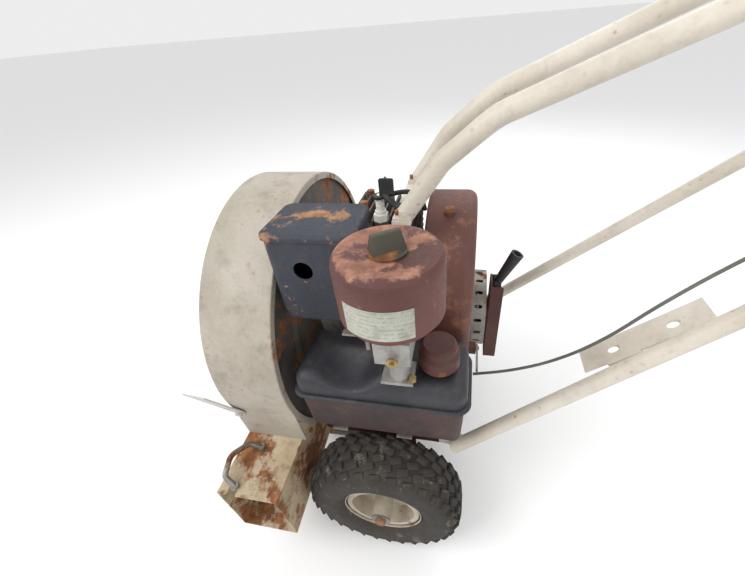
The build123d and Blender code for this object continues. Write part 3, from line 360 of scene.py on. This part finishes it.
def tyre(name, side_sign, body, replaced):
    bm = bmesh.new()
    centre = AXLE + Vector((side_sign * HALF_TRACK, 0, 0))
    lathe(bm, tyre_section(), centre, "X")
    across = Vector((1, 0, 0))
    for step in range(BLOCKS):
        for row, (offset, half, radius, lean, length, stagger) in enumerate(TREAD_ROWS):
            turn = 2 * pi * (step + stagger) / BLOCKS
            out = Vector((0, cos(turn), sin(turn)))
            around = Vector((0, -sin(turn), cos(turn)))
            tilt = Matrix.Rotation(radians(lean), 3, around)
            slew = Matrix.Rotation(radians(BLOCK_SLEW if row % 2 else -BLOCK_SLEW), 3, out)
            bar(bm, centre + out * radius * MM + across * offset * MM,
                slew @ around * length * MM, tilt @ (slew @ across) * half * MM,
                tilt @ out * BLOCK_HEIGHT * MM)
    return piece(name, bm, tyre_rubber, body, replaced, smooth=True, bevel=0.0009)


tyre("tread_tyre_left", 1, "left_wheel", ("tyre_left",))
tyre("tread_tyre_right", -1, "right_wheel", ("tyre_right",))


# ---- Fuel tank: two pressed halves with a seam flange ----
def box_mesh(bm, low, high, radius, segments=6, taper=0.0):
    """A box with rounded edges; taper draws its top in on every side."""
    made = bmesh.ops.create_cube(bm, size=1.0)["verts"]
    low, high = Vector(low) * MM, Vector(high) * MM
    for vert in made:
        place = Vector([low[i] + (vert.co[i] + 0.5) * (high[i] - low[i]) for i in range(3)])
        if vert.co.z > 0 and taper:
            middle = (low + high) / 2
            for i in (0, 1):
                place[i] += taper * MM * (1 if place[i] < middle[i] else -1)
        vert.co = place
    edges = dict.fromkeys(edge for vert in made for edge in vert.link_edges)
    bmesh.ops.bevel(bm, geom=list(edges), offset=radius * MM, segments=segments,
                    affect="EDGES", profile=0.5)


def hump(value, middle, half_width):
    """1 at the middle, falling as a parabola to 0 at half_width from it."""
    return max(0.0, 1 - ((value - middle) / half_width) ** 2)


SEAM_Z = 0.4015
CROWN_START = 0.410
CROWN_RISE = 0.035
DISH_DEPTH = 0.020
RIDGE_HEIGHT = 0.007
CROWN_SINK = 0.006
CAP_FLAT_START = 0.065
CAP_FLAT_SINK = 0.004


def tank_crown(x, y):
    """How far the pressed top sinks below its highest level, in metres."""
    if y >= CAP_FLAT_START:
        return CAP_FLAT_SINK
    dish = DISH_DEPTH * hump(x, 0.205, 0.055) * hump(y, -0.030, 0.045)
    return dish + CROWN_SINK - RIDGE_HEIGHT * hump(y, 0.030, 0.035)


tank = bmesh.new()
box_mesh(tank, (114, -104, 312.2), (212, 131, 408), 12, taper=-4)
upper = bmesh.new()
box_mesh(upper, (108.5, -111.5, 385), (218.5, 138.5, 445), 19, 8, taper=2.5)
bmesh.ops.subdivide_edges(upper, edges=[e for e in upper.edges if e.calc_length() > 0.02],
                          cuts=14, use_grid_fill=True)
for vert in upper.verts:
    if vert.co.z > CROWN_START:
        share = (vert.co.z - CROWN_START) / CROWN_RISE
        vert.co.z -= share * tank_crown(vert.co.x, vert.co.y)
piece("tank_lower", tank, tank_low_paint, "chassis", ("fuel_tank",))
piece("tank_upper", upper, tank_paint, "chassis")


def rounded_ring(x, y, corner, steps=8):
    """Corner points of a rounded rectangle, anticlockwise."""
    left, right = x[0] + corner, x[1] - corner
    front, back = y[0] + corner, y[1] - corner
    points = []
    for cx, cy, start in ((right, back, 0), (left, back, 90), (left, front, 180),
                          (right, front, 270)):
        for step in range(steps + 1):
            turn = radians(start + 90 * step / steps)
            points.append((cx + corner * cos(turn), cy + corner * sin(turn)))
    return points


# The seam's section as (growth of the outline, height about the seam), in mm.
SEAM_SECTION = ((-4, -2.2), (0, -2.2), (1, 0), (0, 2.2), (-4, 2.2))
SEAM_CORNER = 22
seam = bmesh.new()
loops = []
for grow, rise in SEAM_SECTION:
    outline = rounded_ring((106.8 - grow, 222.2 + grow), (-115 - grow, 142 + grow),
                           SEAM_CORNER)
    loops.append([seam.verts.new((x * MM, y * MM, SEAM_Z + rise * MM)) for x, y in outline])
for inner, outer in zip(loops, loops[1:]):
    for i in range(len(inner)):
        j = (i + 1) % len(inner)
        seam.faces.new((inner[i], inner[j], outer[j], outer[i]))
piece("tank_seam", seam, tank_paint, "chassis")
neck = bmesh.new()
lathe(neck, [(443, 17.5), (443, 25), (447, 22.5), (447.5, 19.6), (459.5, 19.6), (459.5, 17.5)],
      (0.170, 0.096, 0), "Z", 48)
piece("filler_neck", neck, tank_paint, "chassis")

# ---- Air cleaner label: a curved patch on the side of the can ----
CAN_X, CAN_Y = 0.207, 0.047
LABEL_RADIUS = 0.0593
LABEL_ARC = (-40, 34)
LABEL_Z = (0.579, 0.617)
LABEL_STEPS = 30
label = bmesh.new()
columns = []
for step in range(LABEL_STEPS + 1):
    turn = radians(LABEL_ARC[0] + (LABEL_ARC[1] - LABEL_ARC[0]) * step / LABEL_STEPS)
    x = CAN_X + LABEL_RADIUS * cos(turn)
    y = CAN_Y + LABEL_RADIUS * sin(turn)
    columns.append([label.verts.new((x, y, z)) for z in LABEL_Z])
for now, following in zip(columns, columns[1:]):
    label.faces.new((now[0], following[0], following[1], now[1]))
piece("can_label", label, label_material(), "chassis")

# ---- Stage, light and camera ----
FLOOR_SIZE = 60.0
FLOOR_Z = -0.0005
floor_mesh = bmesh.new()
bmesh.ops.create_grid(floor_mesh, x_segments=2, y_segments=2, size=FLOOR_SIZE)
for vert in floor_mesh.verts:
    vert.co.z = FLOOR_Z
mesh = bpy.data.meshes.new("floor")
floor_mesh.to_mesh(mesh)
floor_mesh.free()
floor = bpy.data.objects.new("floor", mesh)
bpy.context.scene.collection.objects.link(floor)
floor_look = bpy.data.materials.new("floor_look")
floor_look.use_nodes = True
floor_shader = floor_look.node_tree.nodes["Principled BSDF"]
floor_shader.inputs["Base Color"].default_value = (0.86, 0.86, 0.86, 1)
floor_shader.inputs["Roughness"].default_value = 0.9
mesh.materials.append(floor_look)

world = bpy.data.worlds.new("studio")
world.use_nodes = True
background = world.node_tree.nodes["Background"]
background.inputs["Color"].default_value = (1, 1, 1, 1)
background.inputs["Strength"].default_value = 0.85
bpy.context.scene.world = world


def area_light(name, place, aim, size, power):
    light = bpy.data.lights.new(name, "AREA")
    light.size = size
    light.energy = power
    item = bpy.data.objects.new(name, light)
    item.location = place
    item.rotation_euler = (Vector(aim) - Vector(place)).to_track_quat("-Z", "Y").to_euler()
    bpy.context.scene.collection.objects.link(item)


ENGINE_MIDDLE = (0.05, 0.0, 0.4)
area_light("key", (1.2, -1.6, 2.4), ENGINE_MIDDLE, 1.6, 45)
area_light("fill", (1.9, 1.5, 1.8), ENGINE_MIDDLE, 2.0, 18)
area_light("back", (-1.8, 0.6, 2.2), (0.0, 0.0, 0.4), 2.0, 25)

# The photograph's camera: above the machine's left side, with a wide lens.
CAMERA_PLACE = (0.5007, 0.1236, 0.8304)
PITCH, YAW, ROLL = radians(37.27), radians(13.56), radians(-5.01)
camera_data = bpy.data.cameras.new("camera")
camera_data.sensor_width = 36.0
camera_data.lens = 17.198
camera_data.shift_x = -0.0315
camera_data.clip_start = 0.01
camera = bpy.data.objects.new("camera", camera_data)
bpy.context.scene.collection.objects.link(camera)
bpy.context.scene.camera = camera
ahead = Vector((-cos(YAW) * cos(PITCH), -sin(YAW) * cos(PITCH), -sin(PITCH)))
level = Vector((-sin(YAW), cos(YAW), 0))
above = level.cross(ahead)
right = level * cos(ROLL) + above * sin(ROLL)
up = above * cos(ROLL) - level * sin(ROLL)
camera.matrix_world = Matrix.Translation(CAMERA_PLACE) @ Matrix(
    (right, up, -ahead)).transposed().to_4x4()

bpy.context.scene.view_settings.view_transform = "Standard"
